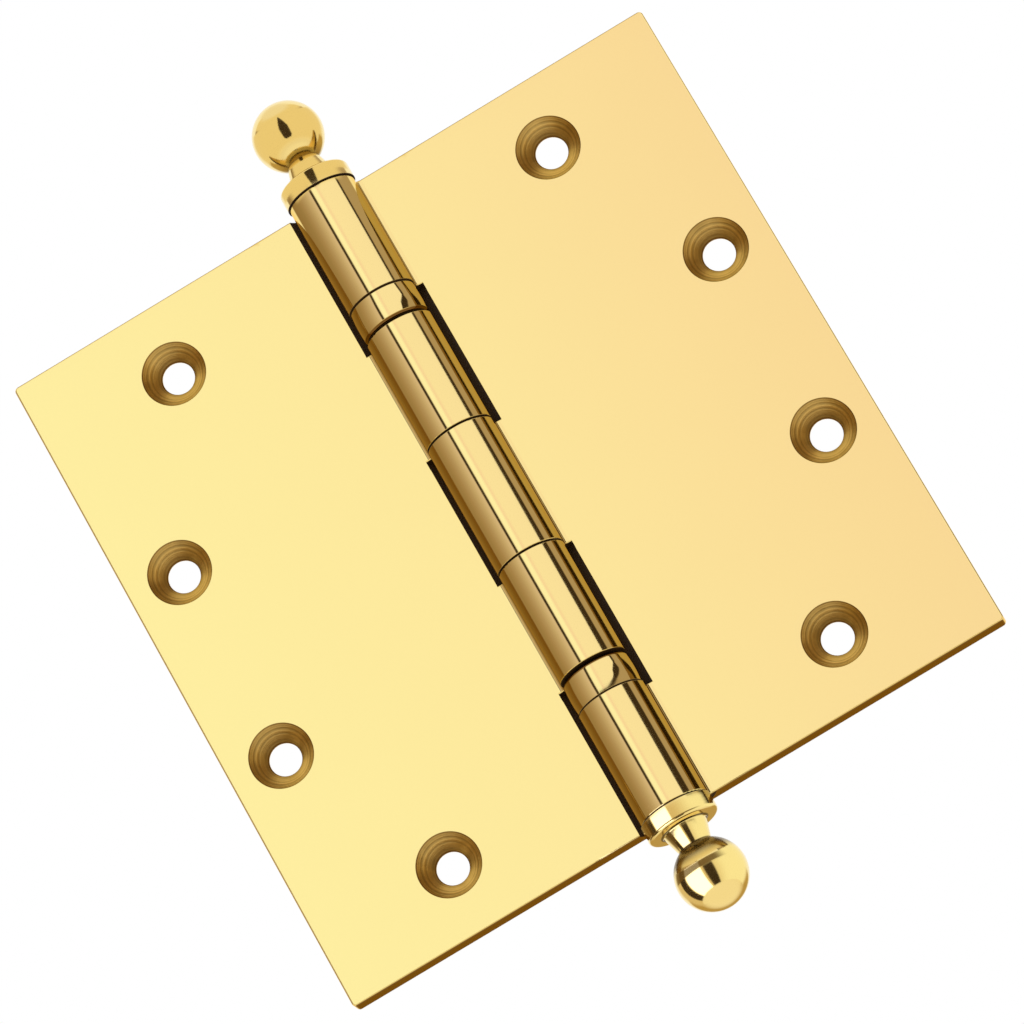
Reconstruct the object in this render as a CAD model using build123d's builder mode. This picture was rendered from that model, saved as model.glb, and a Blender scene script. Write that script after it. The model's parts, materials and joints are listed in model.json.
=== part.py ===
from build123d import *
import os
from math import atan2, degrees, sqrt

# A ball bearing butt hinge in solid brass, with five knuckles, two ball bearings and a ball tip
# at each end of a loose steel pin.
# The pin's axis is Z and the origin is the middle of the barrel. The three-knuckle jamb leaf lies
# towards +X and the two-knuckle door leaf towards -X, opened out flat, with the countersunk faces
# looking along -Y. The barrel stands proud of those faces, and its back is flush with the leaf
# backs. Every length is in millimetres and every angle in degrees.

# Leaf plates
leaf_height = 127.0
leaf_width = 63.5
leaf_thickness = 3.5
corner_radius = 0.8
edge_round = 0.3

# Barrel and knuckles
barrel_diameter = 12.5
root_fillet = 1.0
knuckle_round = 0.2
end_knuckle = 22.25
door_knuckle = 22.0
knuckle_gap = 0.2
notch_clearance = 1.7

# Screw holes
hole_diameter = 5.8
countersink_diameter = 11.5
countersink_angle = 82.0
outer_hole_edge = 9.9
inner_hole_edge = 25.75
outer_hole_spacing = 37.7
inner_hole_spacing = 101.2

# Loose pin
pin_running_gap = 0.05
pin_end_chamfer = 0.6
stub_diameter = 4.0
stub_length = 8.5
stub_gap = 0.04
stub_end_space = 0.5

# Ball tips
collar_diameter = 13.0
collar_height = 3.3
collar_round = 0.6
collar_seat_gap = 0.05
neck_foot_diameter = 8.2
neck_end_diameter = 6.0
neck_cove = 0.4
tip_ball_diameter = 12.7
tip_ball_rise = 12.6
plug_length = 9.0
plug_gap = 0.02
plug_to_pin_space = 1.5

# Ball bearings
bearing_height = 6.4
mouth_gap = 0.4
shell_floor = 0.8
shell_wall = 0.6
shell_lip = 0.8
shell_crown = 0.2
shell_mouth_round = 0.75
shell_base_round = 0.25
lip_reach = 2.1
seat_race_thickness = 1.4
race_pin_gap = 0.25
race_shell_gap = 0.1
race_lip_gap = 0.1
boss_lip_gap = 0.2
ball_count = 10
ball_diameter = 1.59
ball_gap = 0.08
groove_depth = 0.25
groove_room = 0.155
cage_thickness = 0.5
cage_wall = 0.25
cage_side_gap = 0.15
pocket_gap = 0.08

# Places along the pin
half_height = leaf_height / 2
end_start = half_height - end_knuckle
door_end = end_start - bearing_height
door_start = door_end - door_knuckle
centre_end = door_start - knuckle_gap

# Places across the leaves
barrel_radius = barrel_diameter / 2
front_face = barrel_radius - leaf_thickness
back_face = barrel_radius
notch_radius = barrel_radius + notch_clearance
inner_hole_x = leaf_width - inner_hole_edge
outer_hole_x = leaf_width - outer_hole_edge

# Places inside a bearing, measured from the end knuckle's face
shell_height = bearing_height - mouth_gap
shell_end_radius = barrel_radius - shell_crown
shell_bore = barrel_radius - shell_wall
lip_bore = barrel_radius - lip_reach
boss_radius = lip_bore - boss_lip_gap
race_radius = shell_bore - race_shell_gap
cage_radius = race_radius - cage_side_gap
ball_radius = ball_diameter / 2
pocket_radius = ball_radius + pocket_gap
groove_radius = ball_radius + groove_room
pitch_radius = cage_radius - cage_wall - pocket_radius
cage_bore = pitch_radius - pocket_radius - cage_wall
race_bore = cage_bore - cage_side_gap
seat_race_top = shell_floor + seat_race_thickness
ball_plane = seat_race_top - groove_depth + ball_gap + ball_radius
turning_race_base = ball_plane + ball_radius + ball_gap - groove_depth
turning_race_shoulder = shell_height - shell_lip - race_lip_gap

# The pin fills what the ball bearings leave in the middle of the barrel
pin_radius = race_bore - race_pin_gap
bore_radius = pin_radius + pin_running_gap


def leaf_section():
    """The drawn bar that a leaf is cut from: a flat plate with a round edge that becomes the barrel."""
    meeting_x = sqrt(barrel_radius**2 - front_face**2)
    meeting_angle = degrees(atan2(front_face, meeting_x))
    with BuildSketch(Plane.XY.offset(-half_height)) as section:
        with BuildLine():
            Polyline(
                (0, back_face),
                (leaf_width, back_face),
                (leaf_width, front_face),
                (meeting_x, front_face),
            )
            CenterArc((0, 0), barrel_radius, meeting_angle, -270 - meeting_angle)
        make_face()
        root = section.vertices().sort_by_distance((meeting_x, front_face))[0]
        fillet(root, radius=root_fillet)
    return section.sketch


def make_leaf(notches):
    """A leaf towards +X, with hollow round notches that leave the other leaf's knuckles room."""
    with BuildPart() as leaf:
        extrude(leaf_section(), amount=leaf_height)
        outer_corners = leaf.edges().filter_by(Axis.Y).group_by(Axis.X)[-1]
        fillet(outer_corners, radius=corner_radius)
        rims = [
            edge
            for edge in leaf.edges() - leaf.edges().filter_by(Axis.Y)
            if abs(edge.center().Z) > half_height - corner_radius
            or edge.center().X > leaf_width - corner_radius
        ]
        fillet(rims, radius=edge_round)

        for low, high in notches:
            with BuildSketch(Plane.XY.offset(low)):
                Circle(notch_radius)
            extrude(amount=high - low, mode=Mode.SUBTRACT)
        knuckle_rims = [
            edge
            for edge in leaf.edges().filter_by(GeomType.CIRCLE)
            if abs(edge.radius - barrel_radius) < knuckle_round / 2
            and abs(edge.center().Z) < half_height - edge_round - knuckle_round
        ]
        fillet(knuckle_rims, radius=knuckle_round)

        with BuildSketch(Plane.XY.offset(-half_height)):
            Circle(bore_radius)
        extrude(amount=leaf_height, mode=Mode.SUBTRACT)

        front = Plane(origin=(0, front_face, 0), x_dir=(1, 0, 0), z_dir=(0, -1, 0))
        for hole_x, spacing in (
            (inner_hole_x, inner_hole_spacing),
            (outer_hole_x, outer_hole_spacing),
        ):
            with Locations(front):
                with Locations((hole_x, spacing / 2), (hole_x, -spacing / 2)):
                    CounterSinkHole(
                        radius=hole_diameter / 2,
                        counter_sink_radius=countersink_diameter / 2,
                        counter_sink_angle=countersink_angle,
                    )
    return leaf.part


def ball_tip(foot):
    """A turned ball tip with a tapered neck on a collar, and its foot's outline from the axis outwards."""
    collar_radius = collar_diameter / 2
    foot_radius = neck_foot_diameter / 2
    end_radius = neck_end_diameter / 2
    tip_radius = tip_ball_diameter / 2
    neck_end = tip_ball_rise - sqrt(tip_radius**2 - end_radius**2)
    with BuildPart() as tip:
        with BuildSketch(Plane.XZ) as section:
            with BuildLine():
                Polyline(
                    (0, tip_ball_rise + tip_radius),
                    *foot,
                    (collar_radius, 0),
                    (collar_radius, collar_height),
                    (foot_radius, collar_height),
                    (end_radius, neck_end),
                )
                ThreePointArc(
                    (end_radius, neck_end),
                    (tip_radius, tip_ball_rise),
                    (0, tip_ball_rise + tip_radius),
                )
            make_face()
            shoulder = section.vertices().sort_by_distance((collar_radius, collar_height))[0]
            fillet(shoulder, radius=collar_round)
            neck_foot = section.vertices().sort_by_distance((foot_radius, collar_height))[0]
            fillet(neck_foot, radius=neck_cove)
        revolve(axis=Axis.Z)
    return tip.part


def turned_ring(inner, outer, low, high):
    """A plain ring about the pin, between two radii and two heights."""
    with BuildPart() as ring:
        with BuildSketch(Plane.XY.offset(low)):
            Circle(outer)
            Circle(inner, mode=Mode.SUBTRACT)
        extrude(amount=high - low)
    return ring.part


def bearing_shell():
    """The cup that is seen from outside, slightly crowned, with its mouth spun over the races."""
    with BuildPart() as shell:
        with BuildSketch(Plane.XZ) as section:
            with BuildLine():
                Polyline(
                    (shell_end_radius, shell_height),
                    (lip_bore, shell_height),
                    (lip_bore, shell_height - shell_lip),
                    (shell_bore, shell_height - shell_lip),
                    (shell_bore, shell_floor),
                    (race_bore, shell_floor),
                    (race_bore, 0),
                    (shell_end_radius, 0),
                )
                ThreePointArc(
                    (shell_end_radius, 0),
                    (barrel_radius, shell_height / 2),
                    (shell_end_radius, shell_height),
                )
            make_face()
            mouth = section.vertices().sort_by_distance((shell_end_radius, shell_height))[0]
            fillet(mouth, radius=shell_mouth_round)
            base = section.vertices().sort_by_distance((shell_end_radius, 0))[0]
            fillet(base, radius=shell_base_round)
        revolve(axis=Axis.Z)
    return shell.part


def seat_race():
    """The race that lies on the shell's floor, with a ball groove in its top."""
    with BuildPart() as race:
        add(turned_ring(race_bore, race_radius, shell_floor, seat_race_top))
        with Locations((0, 0, seat_race_top - groove_depth + groove_radius)):
            Torus(pitch_radius, groove_radius, mode=Mode.SUBTRACT)
    return race.part


def turning_race():
    """The race that turns with the door leaf, with a boss that reaches out through the mouth."""
    with BuildPart() as race:
        add(turned_ring(race_bore, race_radius, turning_race_base, turning_race_shoulder))
        add(turned_ring(race_bore, boss_radius, turning_race_shoulder, bearing_height))
        with Locations((0, 0, turning_race_base + groove_depth - groove_radius)):
            Torus(pitch_radius, groove_radius, mode=Mode.SUBTRACT)
    return race.part


def ball_cage():
    """The flat ring that keeps the balls evenly apart."""
    low = ball_plane - cage_thickness / 2
    high = ball_plane + cage_thickness / 2
    with BuildPart() as cage:
        add(turned_ring(cage_bore, cage_radius, low, high))
        with Locations((0, 0, high)):
            with PolarLocations(pitch_radius, ball_count):
                Hole(pocket_radius, depth=cage_thickness)
    return cage.part


def bearing_balls():
    """The ring of loose balls."""
    with BuildPart() as balls:
        with Locations((0, 0, ball_plane)):
            with PolarLocations(pitch_radius, ball_count):
                Sphere(ball_radius)
    return balls.part


def write_piece(part, name):
    """Label a finished piece and write it as one file."""
    part.label = name
    export_step(part, f"parts/{name}.step")


os.makedirs("parts", exist_ok=True)

# Jamb leaf: three knuckles, with a notch for each door knuckle and the bearing beside it
with BuildPart() as jamb_leaf:
    add(make_leaf([(centre_end, end_start), (-end_start, -centre_end)]))
write_piece(jamb_leaf.part, "jamb_leaf")

# Door leaf: two knuckles, with a notch for each knuckle of the jamb leaf
with BuildPart() as door_leaf:
    door_notches = [
        (door_end, half_height),
        (-door_start, door_start),
        (-half_height, -door_end),
    ]
    mirror(make_leaf(door_notches), about=Plane.YZ)
write_piece(door_leaf.part, "door_leaf")

# Loose pin: a plain steel rod with a chamfered foot and a thinner stub that the top tip screws on
pin_foot = -half_height + plug_length + plug_to_pin_space
pin_shoulder = half_height + collar_seat_gap
with BuildPart() as hinge_pin:
    with BuildSketch(Plane.XY.offset(pin_foot)):
        Circle(pin_radius)
    extrude(amount=pin_shoulder - pin_foot)
    with BuildSketch(Plane.XY.offset(pin_shoulder)):
        Circle(stub_diameter / 2)
    extrude(amount=stub_length)
    chamfer(hinge_pin.edges().group_by(Axis.Z)[0], length=pin_end_chamfer)
write_piece(hinge_pin.part, "hinge_pin")

# Top ball tip: bored for the pin's stub
stub_bore_radius = stub_diameter / 2 + stub_gap
stub_bore_depth = stub_length + stub_end_space
with BuildPart() as top_ball_tip:
    with Locations((0, 0, pin_shoulder)):
        add(ball_tip([(0, stub_bore_depth), (stub_bore_radius, stub_bore_depth), (stub_bore_radius, 0)]))
write_piece(top_ball_tip.part, "top_ball_tip")

# Bottom ball tip: the same outside, with a plug that closes the foot of the bore
plug_radius = bore_radius - plug_gap
plug_outline = [
    (0, -plug_length),
    (plug_radius - pin_end_chamfer, -plug_length),
    (plug_radius, pin_end_chamfer - plug_length),
    (plug_radius, 0),
]
with BuildPart() as upturned_tip:
    with Locations((0, 0, half_height + collar_seat_gap)):
        add(ball_tip(plug_outline))
with BuildPart() as bottom_ball_tip:
    mirror(upturned_tip.part, about=Plane.XY)
write_piece(bottom_ball_tip.part, "bottom_ball_tip")

# Bearings: each stands on an end knuckle with its mouth towards the door leaf's knuckle
bearing_pieces = {
    "bearing_shell": bearing_shell(),
    "bearing_seat_race": seat_race(),
    "bearing_turning_race": turning_race(),
    "bearing_cage": ball_cage(),
    "bearing_balls": bearing_balls(),
}
for piece_name, piece in bearing_pieces.items():
    with BuildPart() as lower_piece:
        with Locations((0, 0, -end_start)):
            add(piece)
    write_piece(lower_piece.part, f"lower_{piece_name}")
    with BuildPart() as upper_piece:
        mirror(lower_piece.part, about=Plane.XY)
    write_piece(upper_piece.part, f"upper_{piece_name}")
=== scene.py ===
import json
from math import atan2, cos, degrees, radians, sin

import bpy
from bpy.props import FloatProperty, FloatVectorProperty, PointerProperty
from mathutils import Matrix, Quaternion, Vector


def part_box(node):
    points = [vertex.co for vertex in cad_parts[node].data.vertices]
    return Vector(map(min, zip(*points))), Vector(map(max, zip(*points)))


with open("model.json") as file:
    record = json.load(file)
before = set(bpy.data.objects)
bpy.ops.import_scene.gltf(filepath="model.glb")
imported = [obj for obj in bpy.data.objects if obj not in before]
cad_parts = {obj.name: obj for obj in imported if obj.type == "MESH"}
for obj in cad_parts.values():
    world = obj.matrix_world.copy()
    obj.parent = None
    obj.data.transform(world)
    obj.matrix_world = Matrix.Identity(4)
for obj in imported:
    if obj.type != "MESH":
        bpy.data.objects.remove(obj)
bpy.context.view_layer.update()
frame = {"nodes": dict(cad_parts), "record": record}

bl_info = {
    "name": "Ball Bearing Hinge Finishes",
    "version": (1, 0, 0),
    "blender": (4, 5, 0),
    "location": "View3D > Sidebar > Hinge",
    "description": "Polished brass, steel and studio light for a ball bearing hinge",
    "category": "Object",
}

# One millimetre, in metres
MM = 0.001

# Places of the screw holes in the upper half of a leaf, as distances from the hinge's middle
MOUNTS = {mount["name"]: mount for mount in frame["record"]["mounts"]}


def upper_hole(name):
    """Distance across and along the leaf to one upper screw hole."""
    mount = MOUNTS[name]
    return mount["pos_m"][0], mount["dims"]["spacing_y_mm"] * MM / 2


UPPER_HOLES = [upper_hole("jamb_inner_screws"), upper_hole("jamb_outer_screws")]

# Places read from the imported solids, as distances from the pin's axis or the hinge's middle
HALF_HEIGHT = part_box("jamb_leaf")[1].z
LEAF_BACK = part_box("jamb_leaf")[1].y
BARREL_RADIUS = -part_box("jamb_leaf")[0].y
LEAF_THICKNESS = 3.5 * MM
LEAF_FRONT = LEAF_BACK - LEAF_THICKNESS
SHELL_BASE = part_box("upper_bearing_shell")[1].z
SHELL_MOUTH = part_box("upper_bearing_shell")[0].z
DOOR_KNUCKLE_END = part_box("upper_bearing_turning_race")[0].z

# The curved screens in front of the ball tips, by their steps round the pin in degrees, and by how long a
# ray is that shows them, as a part of their radius. This leaves them out of most of what the leaves mirror.
SCREEN_STEP = 3
SCREEN_STEPS_EACH_WAY = 44
SHORTEST_RAY = 0.62
LONGEST_RAY_BESIDE_LEAVES = 0.77
LONGEST_RAY_PAST_LEAVES = 1.08


class HingeFinishes(bpy.types.PropertyGroup):
    """Colours and textures of the hinge's own surfaces."""

    brass: FloatVectorProperty(
        name="Polished brass",
        description="Colour that the polished brass reflects",
        subtype="COLOR",
        size=3,
        min=0,
        max=1,
        default=(0.97, 0.77, 0.32),
    )
    brass_roughness: FloatProperty(
        name="Polish",
        description="Roughness of the polished brass",
        min=0,
        max=1,
        default=0.05,
    )
    turned_brass: FloatVectorProperty(
        name="Turned brass",
        description="Colour of the unpolished brass in the countersinks",
        subtype="COLOR",
        size=3,
        min=0,
        max=1,
        default=(0.88, 0.58, 0.18),
    )
    countersink_width: FloatProperty(
        name="Countersink width",
        description="Width of a screw hole's countersink at the leaf's face",
        unit="LENGTH",
        default=0.0115,
    )
    grazing_tint: FloatVectorProperty(
        name="Grazing tint",
        description="Tint of what the polished brass reflects at a slant",
        subtype="COLOR",
        size=3,
        min=0,
        max=1,
        default=(1.0, 0.78, 0.42),
    )
    hole_width: FloatProperty(
        name="Hole width",
        description="Width of a screw hole below its countersink",
        unit="LENGTH",
        default=0.0058,
    )
    notch_radius: FloatProperty(
        name="Notch radius",
        description="Radius about the pin of the hollow notches cut in the leaves",
        unit="LENGTH",
        default=0.00795,
    )
    centre_joint: FloatProperty(
        name="Centre joint",
        description="Distance from the middle to the joints at the centre knuckle's ends",
        unit="LENGTH",
        default=0.01275,
    )
    # Painted shade: the dark brass laid on the leaves' cut ends, the countersinks' rims, the shells' mouths
    # and the tips' ball roots
    painted_shade_brass: FloatVectorProperty(
        name="Cut brass",
        description="Colour of the unbuffed brass on the leaves' cut ends",
        subtype="COLOR",
        size=3,
        min=0,
        max=1,
        default=(0.2, 0.1, 0.025),
    )
    # Painted shade on the notches' walls and at the necks' feet, and the dark colour of the barrel's thin
    # joints
    shade_brass: FloatVectorProperty(
        name="Shaded brass",
        description="Colour of the brass in the notches and joints, which no buff reaches",
        subtype="COLOR",
        size=3,
        min=0,
        max=1,
        default=(0.035, 0.013, 0.003),
    )
    neck_end: FloatProperty(
        name="Neck end",
        description="Distance from the middle to the corner where a tip's ball stands on its neck",
        unit="LENGTH",
        default=0.07055,
    )
    tip_roughness: FloatProperty(
        name="Tip polish",
        description="Roughness of the ball tips, which are buffed by hand",
        min=0,
        max=1,
        default=0.08,
    )
    ring_pitch: FloatProperty(
        name="Ring pitch",
        description="Distance between the cutter's rings in a countersink",
        unit="LENGTH",
        default=0.0006,
    )
    pin_steel: FloatVectorProperty(
        name="Pin steel",
        description="Colour of the ground steel pin",
        subtype="COLOR",
        size=3,
        min=0,
        max=1,
        default=(0.56, 0.57, 0.58),
    )
    bearing_steel: FloatVectorProperty(
        name="Bearing steel",
        description="Colour of the hardened races and balls",
        subtype="COLOR",
        size=3,
        min=0,
        max=1,
        default=(0.48, 0.49, 0.51),
    )
    cage_brass: FloatVectorProperty(
        name="Cage brass",
        description="Colour of the pressed sheet brass cages",
        subtype="COLOR",
        size=3,
        min=0,
        max=1,
        default=(0.62, 0.45, 0.19),
    )


class HingeStudio(bpy.types.PropertyGroup):
    """The camera, the floor and the light around the hinge."""

    camera_place: FloatVectorProperty(
        name="Camera place",
        description="Where the camera stands",
        subtype="TRANSLATION",
        unit="LENGTH",
        size=3,
        default=(0.0696, -1.1021, -0.3748),
    )
    camera_aim: FloatVectorProperty(
        name="Camera aim",
        description="Point of the leaves' front plane at the middle of the picture",
        subtype="TRANSLATION",
        unit="LENGTH",
        size=3,
        default=(0.00106, 0.00275, -0.00276),
    )
    camera_roll: FloatProperty(
        name="Camera roll",
        description="Turn of the camera about its line of sight, clockwise as it looks",
        subtype="ANGLE",
        default=radians(29.88),
    )
    lens: FloatProperty(
        name="Lens",
        description="Focal length in millimetres on a 36 mm wide frame",
        min=1,
        default=241.6,
    )
    floor_depth: FloatProperty(
        name="Floor depth",
        description="Distance of the floor below the middle of the hinge",
        unit="LENGTH",
        default=0.6,
    )
    floor_radius: FloatProperty(
        name="Floor radius",
        description="Distance from its middle at which the round floor has faded out",
        unit="LENGTH",
        default=1.2,
    )
    floor_colour: FloatVectorProperty(
        name="Floor colour",
        description="Colour of the pale floor",
        subtype="COLOR",
        size=3,
        min=0,
        max=1,
        default=(0.82, 0.81, 0.79),
    )
    floor_glow: FloatVectorProperty(
        name="Floor in polish",
        description="Colour of the floor as polished metal shows it",
        subtype="COLOR",
        size=3,
        min=0,
        max=1,
        default=(0.95, 0.9, 0.78),
    )
    pale_light: FloatVectorProperty(
        name="Pale light",
        description="Light from the pale walls above and below the cards, and from the upper tip's screen",
        subtype="COLOR",
        size=3,
        min=0,
        max=1,
        default=(0.86, 0.75, 0.52),
    )
    card_light: FloatVectorProperty(
        name="Card light",
        description="Light from the white card beside the lower tip",
        subtype="COLOR",
        size=3,
        min=0,
        soft_max=3,
        default=(2.2, 2.2, 2.6),
    )
    tent_radius: FloatProperty(
        name="Tent radius",
        description="Radius of the two curved screens in front of the ball tips",
        unit="LENGTH",
        default=0.018,
    )
    gap_colour: FloatVectorProperty(
        name="Gap colour",
        description="Light from the dark gaps between the studio's cards",
        subtype="COLOR",
        size=3,
        min=0,
        max=1,
        default=(0.045, 0.03, 0.018),
    )


class Signal:
    """A shader node's output. Arithmetic on it adds Math nodes to its node tree."""

    def __init__(self, socket):
        self.socket = socket

    @property
    def shading(self):
        return Shading(self.socket.id_data)

    def __add__(self, other):
        return self.shading.math("ADD", self, other)

    def __radd__(self, other):
        return self.shading.math("ADD", other, self)

    def __sub__(self, other):
        return self.shading.math("SUBTRACT", self, other)

    def __rsub__(self, other):
        return self.shading.math("SUBTRACT", other, self)

    def __mul__(self, other):
        return self.shading.math("MULTIPLY", self, other)

    def __truediv__(self, other):
        return self.shading.math("DIVIDE", self, other)

    def __abs__(self):
        return self.shading.math("ABSOLUTE", self)

    def above(self, edge, blur):
        """0 below an edge and 1 above it, with a smooth step as wide as the blur."""
        return self.shading.node(
            "ShaderNodeMapRange",
            {"interpolation_type": "SMOOTHSTEP"},
            {"Value": self - edge, "From Min": -blur / 2, "From Max": blur / 2},
        )

    def between(self, low, high, blur):
        """1 between two edges and 0 outside them."""
        return self.above(low, blur) * (1 - self.above(high, blur))


class Shading:
    """A node tree that the methods below fill."""

    def __init__(self, tree):
        self.tree = tree

    def node(self, kind, settings=None, values=None, output=0):
        """Add a node, set it up, fill its sockets with values or signals, and give one output."""
        made = self.tree.nodes.new(kind)
        for name, setting in (settings or {}).items():
            if name == "stops":
                self.set_stops(made.color_ramp, setting)
            else:
                setattr(made, name, setting)
        for name, value in (values or {}).items():
            if isinstance(value, Signal):
                self.tree.links.new(value.socket, made.inputs[name])
            else:
                made.inputs[name].default_value = value
        return Signal(made.outputs[output]) if made.outputs else None

    @staticmethod
    def set_stops(ramp, stops):
        """Give a colour ramp its (place, colour) stops, in order."""
        while len(ramp.elements) < len(stops):
            ramp.elements.new(1.0)
        for element, (place, colour) in zip(ramp.elements, stops):
            element.position = place
            element.color = opaque(colour)

    def math(self, operation, *terms):
        """A Math node on numbers or signals."""
        return self.node("ShaderNodeMath", {"operation": operation}, dict(enumerate(terms)))

    def mix(self, factor, first, second):
        """The colour between two colours, given as colours or signals."""
        sockets = {0: factor, 6: opaque(first), 7: opaque(second)}
        return self.node("ShaderNodeMix", {"data_type": "RGBA"}, sockets, output=2)

    def parts(self, vector):
        """The three parts of a vector."""
        made = self.tree.nodes.new("ShaderNodeSeparateXYZ")
        self.tree.links.new(vector.socket, made.inputs[0])
        return [Signal(part) for part in made.outputs]

    def place(self):
        """The point's place in the hinge's own frame, in metres."""
        return self.node("ShaderNodeTexCoord", output="Object")

    def length(self, first, second):
        """Length of the vector with two given parts."""
        vector = self.node("ShaderNodeCombineXYZ", {}, {0: first, 1: second})
        return self.node("ShaderNodeVectorMath", {"operation": "LENGTH"}, {0: vector}, "Value")

    def noise(self, vector, waves, detail=2.0, stretch=(1, 1, 1)):
        """Soft noise from 0 to 1 with so many waves a metre along each axis."""
        scale = [waves * part for part in stretch]
        scaled = self.node("ShaderNodeVectorMath", {"operation": "MULTIPLY"}, {0: vector, 1: scale})
        return self.node("ShaderNodeTexNoise", {}, {"Vector": scaled, "Scale": 1.0, "Detail": detail})

    def bump(self, height, strength, distance):
        """A normal tilted by a height signal."""
        values = {"Height": height, "Strength": strength, "Distance": distance}
        return self.node("ShaderNodeBump", {}, values)


def opaque(colour):
    """A colour with its alpha, or a signal as it is."""
    return colour if isinstance(colour, Signal) else (*colour[:3], 1.0)


def make_surface(name, sockets):
    """A material with one principled shader, whose sockets a function of the shading gives."""
    material = bpy.data.materials.new(name)
    material.use_nodes = True
    material.node_tree.nodes.clear()
    shading = Shading(material.node_tree)
    shader = shading.node("ShaderNodeBsdfPrincipled", {}, sockets(shading))
    shading.node("ShaderNodeOutputMaterial", {}, {"Surface": shader})
    return material


def give(material, *names):
    """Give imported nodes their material."""
    for name in names:
        mesh = frame["nodes"][name].data
        mesh.materials.clear()
        mesh.materials.append(material)
        mesh.polygons.foreach_set("material_index", [0] * len(mesh.polygons))


def polished(finishes):
    """Buffed brass: a mirror with a trace of buffing clouds and hair lines."""

    def sockets(shading):
        place = shading.place()
        clouds = shading.noise(place, waves=45)
        grain = shading.noise(place, waves=900, detail=3.0, stretch=(1, 1, 0.15))
        cloudy = [part * 0.985 for part in finishes.brass]
        return {
            "Base Color": shading.mix(clouds, cloudy, finishes.brass),
            "Metallic": 1.0,
            "Specular Tint": opaque(finishes.grazing_tint),
            "Roughness": finishes.brass_roughness + clouds * 0.02 + grain * 0.015,
            "Normal": shading.bump(clouds, strength=0.25, distance=0.1 * MM),
        }

    return sockets


def shade_joints(shading, finishes, values):
    """Paint shade on the notches' walls, and darken the thin joints of the barrel."""
    # Distance of each joint from the hinge's middle, and half the height of its shade
    joints = (
        (HALF_HEIGHT, 0.14 * MM),
        (SHELL_BASE, 0.2 * MM),
        ((SHELL_MOUTH + DOOR_KNUCKLE_END) / 2, 0.3 * MM),
        (finishes.centre_joint, 0.22 * MM),
    )
    sharp = 0.05 * MM
    soft = 0.1 * MM
    x, y, z = shading.parts(shading.place())
    radius = shading.length(x, y)
    inside_leaf = y.between(LEAF_FRONT + 0.1 * MM, LEAF_BACK - 0.1 * MM, sharp)
    # Painted shade on the notches' walls inside the leaves, made dark and dull
    notches = radius.between(BARREL_RADIUS + 0.15 * MM, finishes.notch_radius + 0.05 * MM, sharp)
    shade = notches * inside_leaf
    on_barrel = 1 - radius.above(BARREL_RADIUS + 0.35 * MM, soft)
    for joint, half_height in joints:
        line = 1 - abs(abs(z) - joint).above(half_height, soft)
        shade = shade + line * on_barrel
    shade = shading.math("MINIMUM", shade, 1)
    values["Base Color"] = shading.mix(shade, values["Base Color"], finishes.shade_brass)
    values["Roughness"] = values["Roughness"] + shade * 0.8
    values["Metallic"] = 1 - shade
    return values


def countersunk(finishes):
    """Polished brass with a cutter's rings in the countersinks, found by their distance from a hole.

    Painted shade darkens the countersinks' inner and outer rims and the leaves' cut ends.
    """
    edge = finishes.countersink_width / 2
    inner_rim_end = finishes.hole_width / 2 + 0.2 * MM
    outer_rim_start = edge - 0.15 * MM
    dark = [part * 0.3 for part in finishes.turned_brass]

    def sockets(shading):
        values = polished(finishes)(shading)
        place = shading.place()
        x, y, z = shading.parts(place)
        distances = [shading.length(abs(x) - across, abs(z) - along) for across, along in UPPER_HOLES]
        distance = shading.math("MINIMUM", *distances)
        back_face = y.above(LEAF_BACK - 0.12 * MM, 0.1 * MM)
        cone = (1 - distance.above(edge, edge * 0.01)) * (1 - back_face)
        # Painted shade on the countersinks' inner and outer rims
        rims = 1 - distance.between(inner_rim_end, outer_rim_start, 0.14 * MM)
        rings = shading.node(
            "ShaderNodeTexNoise",
            {"noise_dimensions": "1D"},
            {"W": distance / finishes.ring_pitch, "Scale": 1.0, "Detail": 3.0},
        )
        patches = shading.noise(place, waves=380, detail=3.0)
        turned = shading.mix(rings.above(0.5, 0.4) * 0.45 + patches * 0.55, dark, finishes.turned_brass)
        turned = shading.mix(rims * 0.8, turned, finishes.painted_shade_brass)
        values["Base Color"] = shading.mix(cone, values["Base Color"], turned)
        values["Roughness"] = values["Roughness"] + cone * 0.24
        values["Normal"] = shading.bump(rings * cone, strength=0.5, distance=0.1 * MM)
        # Painted shade on the leaves' cut ends, top and bottom alike
        ends = abs(z).above(HALF_HEIGHT - 0.15 * MM, 0.1 * MM)
        values["Base Color"] = shading.mix(ends, values["Base Color"], finishes.painted_shade_brass)
        values["Roughness"] = values["Roughness"] + ends * 0.12
        return shade_joints(shading, finishes, values)

    return sockets


def turned_shell(finishes):
    """Polished brass, with painted shade on the shell's spun mouth."""
    mouth_end = SHELL_MOUTH + 0.6 * MM

    def sockets(shading):
        values = polished(finishes)(shading)
        z = shading.parts(shading.place())[2]
        # Painted shade on the mouth's rounded edge
        mouth = 1 - abs(z).above(mouth_end, 0.2 * MM)
        values["Base Color"] = shading.mix(mouth, values["Base Color"], finishes.painted_shade_brass)
        return shade_joints(shading, finishes, values)

    return sockets


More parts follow.
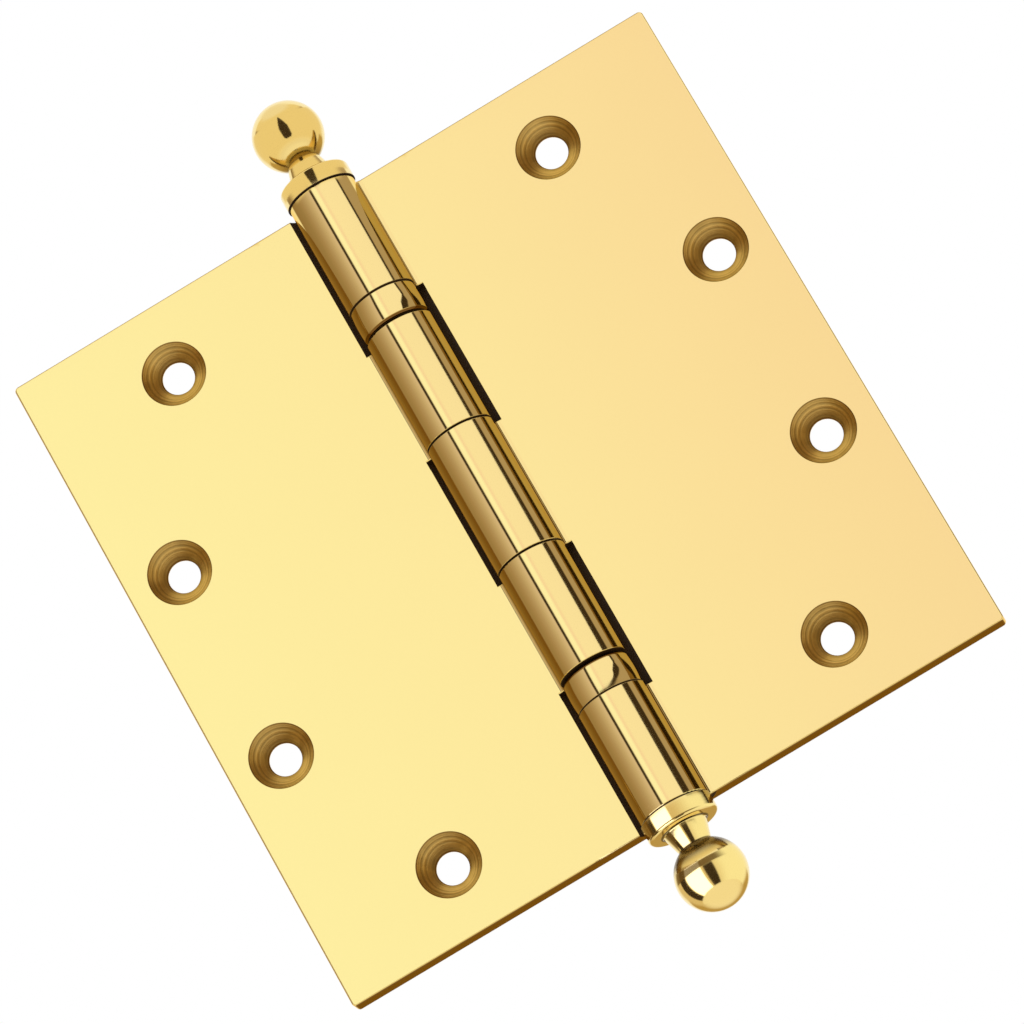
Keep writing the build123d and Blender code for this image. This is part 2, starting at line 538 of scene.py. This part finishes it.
def turned_tip(finishes):
    """Brass turned on a lathe and buffed softer, with faint rings about the pin's axis.

    Painted shade darkens the foot of the neck and the root of the ball. The lower ball's root is the darker
    of the two and reaches further along the ball.
    """
    root_end = finishes.neck_end + 0.2 * MM
    lower_root_extra = 2.7 * MM
    neck_foot_radius = 4.5 * MM
    neck_foot_end = 67.0 * MM
    lower_root_shade = [part * 0.4 for part in finishes.painted_shade_brass]
    darkest = 0.85
    no_tint = (1.0, 1.0, 1.0)

    def sockets(shading):
        values = polished(finishes)(shading)
        place = shading.place()
        rings = shading.noise(place, waves=2600, stretch=(0.01, 0.01, 1))
        x, y, z = shading.parts(place)
        from_middle = abs(z)
        lower_tip = 1 - z.above(0, 1 * MM)
        # Painted shade at the ball's root, darker and longer on the lower tip
        beyond_root = from_middle.above(root_end + lower_tip * lower_root_extra, 2.2 * MM)
        root = from_middle.above(finishes.neck_end - 0.1 * MM, 0.2 * MM) * (1 - beyond_root)
        # Painted shade on the collar's underside at the neck's foot
        inside_neck = 1 - shading.length(x, y).above(neck_foot_radius, 0.2 * MM)
        foot = inside_neck * (1 - from_middle.above(neck_foot_end, 0.2 * MM))
        root_shade_colour = shading.mix(lower_tip, finishes.painted_shade_brass, lower_root_shade)
        values["Base Color"] = shading.mix(root * darkest, values["Base Color"], root_shade_colour)
        values["Base Color"] = shading.mix(foot * darkest, values["Base Color"], finishes.shade_brass)
        values["Specular Tint"] = opaque(no_tint)
        values["Roughness"] = finishes.tip_roughness + rings * 0.05 + root * 0.15
        values["Normal"] = shading.bump(rings, strength=0.1, distance=0.05 * MM)
        return shade_joints(shading, finishes, values)

    return sockets


def ground_steel(colour, rough):
    """Ground steel with fine rings about the pin's axis."""
    darker = [part * 0.8 for part in colour]

    def sockets(shading):
        place = shading.place()
        lines = shading.noise(place, waves=4000, detail=3.0, stretch=(0.02, 0.02, 1))
        clouds = shading.noise(place, waves=120)
        return {
            "Base Color": shading.mix(lines * 0.5 + clouds * 0.5, darker, colour),
            "Metallic": 1.0,
            "Roughness": rough + lines * 0.12,
            "Normal": shading.bump(lines, strength=0.2, distance=0.05 * MM),
        }

    return sockets


def pressed_brass(colour):
    """Dull sheet brass with the rolled sheet's grain."""
    darker = [part * 0.75 for part in colour]
    rough = 0.32

    def sockets(shading):
        grain = shading.noise(shading.place(), waves=3000, detail=3.0, stretch=(1, 0.1, 1))
        return {
            "Base Color": shading.mix(grain, darker, colour),
            "Metallic": 1.0,
            "Roughness": rough + grain * 0.15,
            "Normal": shading.bump(grain, strength=0.2, distance=0.05 * MM),
        }

    return sockets


class HINGE_OT_polish_leaves(bpy.types.Operator):
    """Give both leaves their polish and their countersinks their turned finish"""

    bl_idname = "hinge.polish_leaves"
    bl_label = "Polish the leaves"

    def execute(self, context):
        brass = make_surface("polished_leaf_brass", countersunk(context.scene.hinge_finishes))
        give(brass, "jamb_leaf", "door_leaf")
        return {"FINISHED"}


class HINGE_OT_polish_turned_pieces(bpy.types.Operator):
    """Give the ball tips and the bearing shells their turned and buffed brass"""

    bl_idname = "hinge.polish_turned_pieces"
    bl_label = "Polish the tips and shells"

    def execute(self, context):
        finishes = context.scene.hinge_finishes
        give(make_surface("turned_tip_brass", turned_tip(finishes)), "top_ball_tip", "bottom_ball_tip")
        shell = make_surface("turned_shell_brass", turned_shell(finishes))
        give(shell, "upper_bearing_shell", "lower_bearing_shell")
        return {"FINISHED"}


class HINGE_OT_grind_pin(bpy.types.Operator):
    """Give the loose pin its ground steel"""

    bl_idname = "hinge.grind_pin"
    bl_label = "Grind the pin"

    def execute(self, context):
        colour = context.scene.hinge_finishes.pin_steel
        give(make_surface("ground_pin_steel", ground_steel(colour, rough=0.18)), "hinge_pin")
        return {"FINISHED"}


class HINGE_OT_finish_bearings(bpy.types.Operator):
    """Give the races and balls their hardened steel and the cages their sheet brass"""

    bl_idname = "hinge.finish_bearings"
    bl_label = "Finish the bearings"

    def execute(self, context):
        finishes = context.scene.hinge_finishes
        steel = make_surface("hardened_bearing_steel", ground_steel(finishes.bearing_steel, rough=0.1))
        cage = make_surface("pressed_cage_brass", pressed_brass(finishes.cage_brass))
        for end in ("upper", "lower"):
            for piece in ("seat_race", "turning_race", "balls"):
                give(steel, f"{end}_bearing_{piece}")
            give(cage, f"{end}_bearing_cage")
        return {"FINISHED"}


def set_camera(scene, studio):
    """Stand the camera where the picture was taken, rolled about its line of sight."""
    data = bpy.data.cameras.new("picture_camera")
    data.lens = studio.lens
    data.sensor_width = 36
    data.clip_start = 0.05
    data.clip_end = 20
    camera = bpy.data.objects.new("picture_camera", data)
    scene.collection.objects.link(camera)
    sight = studio.camera_aim - studio.camera_place
    camera.location = studio.camera_place
    camera.rotation_mode = "QUATERNION"
    level = sight.to_track_quat("-Z", "Y")
    camera.rotation_quaternion = level @ Quaternion((0, 0, 1), -studio.camera_roll)
    scene.camera = camera


def lay_floor(scene, studio):
    """A round pale floor that fades out at its rim."""
    corners = [(-1, -1), (1, -1), (1, 1), (-1, 1)]
    mesh = bpy.data.meshes.new("studio_floor")
    level = -studio.floor_depth
    reach = studio.floor_radius
    mesh.from_pydata([(x * reach, y * reach, level) for x, y in corners], [], [(0, 1, 2, 3)])
    floor = bpy.data.objects.new("studio_floor", mesh)
    scene.collection.objects.link(floor)
    material = bpy.data.materials.new("pale_floor")
    material.use_nodes = True
    material.node_tree.nodes.clear()
    shading = Shading(material.node_tree)
    x, y = shading.parts(shading.place())[:2]
    half_faded = reach * 0.65
    rim = shading.length(x, y).above(half_faded, half_faded)
    plain = shading.node("ShaderNodeBsdfDiffuse", {}, {"Color": opaque(studio.floor_colour)})
    bright = shading.node("ShaderNodeEmission", {}, {"Color": opaque(studio.floor_glow)})
    mirrored = shading.node("ShaderNodeLightPath", output="Is Glossy Ray")
    shown = shading.node("ShaderNodeMixShader", {}, {0: mirrored, 1: plain, 2: bright})
    clear = shading.node("ShaderNodeBsdfTransparent")
    faded = shading.node("ShaderNodeMixShader", {}, {0: rim, 1: shown, 2: clear})
    shading.node("ShaderNodeOutputMaterial", {}, {"Surface": faded})
    mesh.materials.append(material)


def hang_tent(scene, studio, name, bottom, top, long_ray_height, pattern):
    """A curved screen in front of a ball tip, which shows only in polished metal.

    At more than the given height from the hinge's middle, past the leaves' ends, longer rays show it too.
    """
    front = atan2(studio.camera_place.y, studio.camera_place.x)
    steps = range(-SCREEN_STEPS_EACH_WAY, SCREEN_STEPS_EACH_WAY + 1)
    turns = [front + radians(step * SCREEN_STEP) for step in steps]
    rims = [
        (cos(turn) * studio.tent_radius, sin(turn) * studio.tent_radius, level)
        for level in (bottom, top)
        for turn in turns
    ]
    walls = [(step, step + 1, len(turns) + step + 1, len(turns) + step) for step in range(len(turns) - 1)]
    mesh = bpy.data.meshes.new(name)
    mesh.from_pydata(rims, [], walls)
    tent = bpy.data.objects.new(name, mesh)
    scene.collection.objects.link(tent)
    material = bpy.data.materials.new(f"{name}_cloth")
    material.use_nodes = True
    material.node_tree.nodes.clear()
    shading = Shading(material.node_tree)
    x, y, z = shading.parts(shading.place())
    reach = shading.node("ShaderNodeLightPath", output="Ray Length")
    azimuth = camera_angle(shading, studio, x, y)
    colour = dim_deep(shading, pattern(shading, azimuth, z))
    cloth = shading.node("ShaderNodeEmission", {}, {"Color": colour})
    clear = shading.node("ShaderNodeBsdfTransparent")
    past_leaves = abs(z).above(long_ray_height, 1 * MM)
    longest = past_leaves * (LONGEST_RAY_PAST_LEAVES - LONGEST_RAY_BESIDE_LEAVES) + LONGEST_RAY_BESIDE_LEAVES
    near = reach.between(studio.tent_radius * SHORTEST_RAY, longest * studio.tent_radius, 1 * MM)
    half_faded = 120
    sides = 1 - abs(azimuth).above(half_faded, 20)
    hem = 0.5 * MM
    inside = z.between(bottom + hem, top - hem, 2 * hem) * near * sides
    faded = shading.node("ShaderNodeMixShader", {}, {0: inside, 1: clear, 2: cloth})
    shading.node("ShaderNodeOutputMaterial", {}, {"Surface": faded})
    mesh.materials.append(material)
    tent.visible_camera = False
    tent.visible_diffuse = False
    tent.visible_shadow = False


def camera_angle(shading, studio, x, y):
    """Azimuth in degrees, counted from the camera's side towards the jamb leaf."""
    front = Vector((studio.camera_place.x, studio.camera_place.y)).normalized()
    return shading.math("ARCTAN2", y * front.x - x * front.y, x * front.x + y * front.y) * degrees(1)


def dim_deep(shading, light):
    """Light halved where Light Path's Ray Depth is over 2.5, after repeated reflections in the metal."""
    deep = 2.5
    lost = 0.5
    depth = shading.node("ShaderNodeLightPath", output="Ray Depth")
    return shading.mix(depth.above(deep, 0.1) * lost, light, (0.0, 0.0, 0.0))


def hang_tents(scene, studio):
    """Hang the upper screen, which has one dark strip, and the lower one with its white card.

    The upper strip narrows towards both ends. The card hangs between two dark strips. A brown band crosses
    the lower screen near its top, and the front strip ends below it. Azimuths and half widths are in
    degrees.
    """
    upper_bottom = 67.5 * MM
    strip_top = 94.5 * MM
    strip_azimuth = 1
    bottom_half_width = 7
    widest_half_width = 12
    plain_cloth = (0.72, 0.6, 0.4)
    bright_cloth = (1.0, 1.0, 0.85)
    brown = (0.13, 0.08, 0.035)
    band_bottom = -71.2 * MM
    band_top = -64.2 * MM

    def upper_pattern(shading, azimuth, z):
        upper_taper = (strip_top - z) * 0.75 / MM
        lower_taper = (z - upper_bottom) * 1.8 / MM + bottom_half_width
        half_width = shading.math("MINIMUM", upper_taper, lower_taper)
        half_width = shading.math("MINIMUM", half_width, widest_half_width)
        strip = (half_width - abs(azimuth - strip_azimuth)).above(0, 2)
        return shading.mix(strip, studio.pale_light, studio.gap_colour)

    def lower_pattern(shading, azimuth, z):
        jamb_side = azimuth.between(20, 240, 60)
        left_strip = azimuth.between(-95, -71, 4)
        white_card = azimuth.between(-68, -17, 4)
        band = azimuth.between(-120, 50, 40) * z.between(band_bottom, band_top, 1 * MM)
        front_strip = azimuth.between(-10, 16, 5) * (1 - z.above(band_bottom, 2 * MM))
        colour = shading.mix(jamb_side, plain_cloth, bright_cloth)
        colour = shading.mix(left_strip, colour, studio.gap_colour)
        colour = shading.mix(white_card, colour, studio.card_light)
        colour = shading.mix(band * 0.9, colour, brown)
        return shading.mix(front_strip, colour, studio.gap_colour)

    hang_tent(
        scene,
        studio,
        "upper_tent",
        bottom=upper_bottom,
        top=110 * MM,
        long_ray_height=70.5 * MM,
        pattern=upper_pattern,
    )
    hang_tent(
        scene,
        studio,
        "lower_tent",
        bottom=-110 * MM,
        top=-59.8 * MM,
        long_ray_height=64 * MM,
        pattern=lower_pattern,
    )


def light_studio(scene, studio):
    """White cards, warm panels and dark gaps round the hinge, by direction in a world shader.

    Azimuth is counted from the camera's side, towards the jamb leaf, and elevation from the level. Both
    are in degrees.
    """
    white = (1.0, 1.0, 1.0)
    side_panel = (0.44, 0.35, 0.26)
    warm_brown = (0.5, 0.35, 0.13)
    warm_foot = (0.5, 0.4, 0.28)
    pale_ceiling = (0.9, 0.85, 0.78)
    world = bpy.data.worlds.new("studio_light")
    scene.world = world
    world.use_nodes = True
    world.node_tree.nodes.clear()
    shading = Shading(world.node_tree)
    x, y, z = shading.parts(shading.node("ShaderNodeTexCoord", output="Generated"))
    azimuth = camera_angle(shading, studio, x, y)
    elevation = shading.math("ARCSINE", z) * degrees(1)

    def stop(angle, *colour):
        return (angle + 180) / 360, colour

    gap = studio.gap_colour
    round_the_hinge = [
        stop(-120, 0.30, 0.21, 0.12),
        stop(-89, 0.34, 0.25, 0.15),
        stop(-74, 0.40, 0.295, 0.20),
        stop(-60, 0.47, 0.37, 0.29),
        stop(-47, 0.57, 0.475, 0.40),
        stop(-30.5, 0.72, 0.62, 0.62),
        stop(-29, *gap),
        stop(-23, *gap),
        stop(-20.5, 1.04, 1.06, 1.06),
        stop(-11.4, 1.04, 1.143, 1.14),
        stop(-7.1, 1.02, 1.04, 1.04),
        stop(-5.2, 1.0, 0.95, 0.99),
        stop(-2.8, 0.97, 0.86, 0.92),
        stop(6, 1.0, 0.98, 0.98),
        stop(100, 0.98, 0.95, 0.97),
    ]
    cards = shading.node(
        "ShaderNodeValToRGB",
        {"stops": round_the_hinge},
        {0: azimuth / 360 + 0.5},
    )
    # The front card has a slanted right edge and a rounded lower right corner, with a dark gap past it
    slant_bottom = 16
    slant_height = 5.5
    corner_top = 17.5
    corner_radius = 12
    narrowest_gap = 1.7
    gap_side = 77
    up_slant = shading.math("MAXIMUM", shading.math("MINIMUM", elevation - slant_bottom, slant_height), 0)
    past_side = shading.math("MAXIMUM", (azimuth - up_slant * 3) * 0.24, 0)
    past_foot = shading.math("MAXIMUM", corner_top - elevation, 0)
    from_edge = shading.length(past_side, past_foot) - corner_radius
    right_part = azimuth.above(-20, 1)
    light = shading.mix(from_edge.above(0, 0.5) * right_part, cards, gap)
    gap_width = shading.math("MINIMUM", elevation * 0.35 + 0.25, 19.4 - elevation * 0.85)
    gap_width = shading.math("MAXIMUM", gap_width, narrowest_gap)
    beyond = shading.math("MAXIMUM", (from_edge - gap_width).above(0, 1), azimuth.above(gap_side, 3))
    light = shading.mix(beyond * right_part, light, side_panel)

    behind = abs(azimuth).above(122, 8)
    below_level = 1 - elevation.above(-4, 8)
    light = shading.mix(elevation.between(1, 44, 6), studio.pale_light, light)
    light = shading.mix(behind, light, white)
    light = shading.mix(behind * below_level, light, warm_brown)
    light = shading.mix(1 - elevation.above(-46, 14), light, warm_foot)
    light = shading.mix(elevation.above(64, 14), light, pale_ceiling)
    light = dim_deep(shading, light)
    seen = shading.node("ShaderNodeLightPath", output="Is Camera Ray")
    light = shading.mix(seen, light, white)
    glow = shading.node("ShaderNodeBackground", {}, {"Color": light, "Strength": 1.0})
    shading.node("ShaderNodeOutputWorld", {}, {"Surface": glow})


class HINGE_OT_set_stage(bpy.types.Operator):
    """Set up the camera, the pale floor and the studio light"""

    bl_idname = "hinge.set_stage"
    bl_label = "Set the stage"

    def execute(self, context):
        scene = context.scene
        studio = scene.hinge_studio
        set_camera(scene, studio)
        lay_floor(scene, studio)
        hang_tents(scene, studio)
        light_studio(scene, studio)
        scene.view_settings.view_transform = "Standard"
        return {"FINISHED"}


OPERATORS = (
    HINGE_OT_polish_leaves,
    HINGE_OT_polish_turned_pieces,
    HINGE_OT_grind_pin,
    HINGE_OT_finish_bearings,
    HINGE_OT_set_stage,
)


class HINGE_PT_panel(bpy.types.Panel):
    """The hinge's finishes and studio in the sidebar"""

    bl_label = "Ball bearing hinge"
    bl_idname = "HINGE_PT_panel"
    bl_space_type = "VIEW_3D"
    bl_region_type = "UI"
    bl_category = "Hinge"

    def draw(self, context):
        layout = self.layout
        for group in (context.scene.hinge_finishes, context.scene.hinge_studio):
            box = layout.box()
            for name in group.__annotations__:
                box.prop(group, name)
        for operator in OPERATORS:
            layout.operator(operator.bl_idname)


CLASSES = (HingeFinishes, HingeStudio, *OPERATORS, HINGE_PT_panel)


def register():
    for entry in CLASSES:
        bpy.utils.register_class(entry)
    bpy.types.Scene.hinge_finishes = PointerProperty(type=HingeFinishes)
    bpy.types.Scene.hinge_studio = PointerProperty(type=HingeStudio)


def unregister():
    del bpy.types.Scene.hinge_studio
    del bpy.types.Scene.hinge_finishes
    for entry in reversed(CLASSES):
        bpy.utils.unregister_class(entry)


def main():
    register()
    bpy.ops.hinge.polish_leaves()
    bpy.ops.hinge.polish_turned_pieces()
    bpy.ops.hinge.grind_pin()
    bpy.ops.hinge.finish_bearings()
    bpy.ops.hinge.set_stage()


if __name__ == "__main__":
    main()
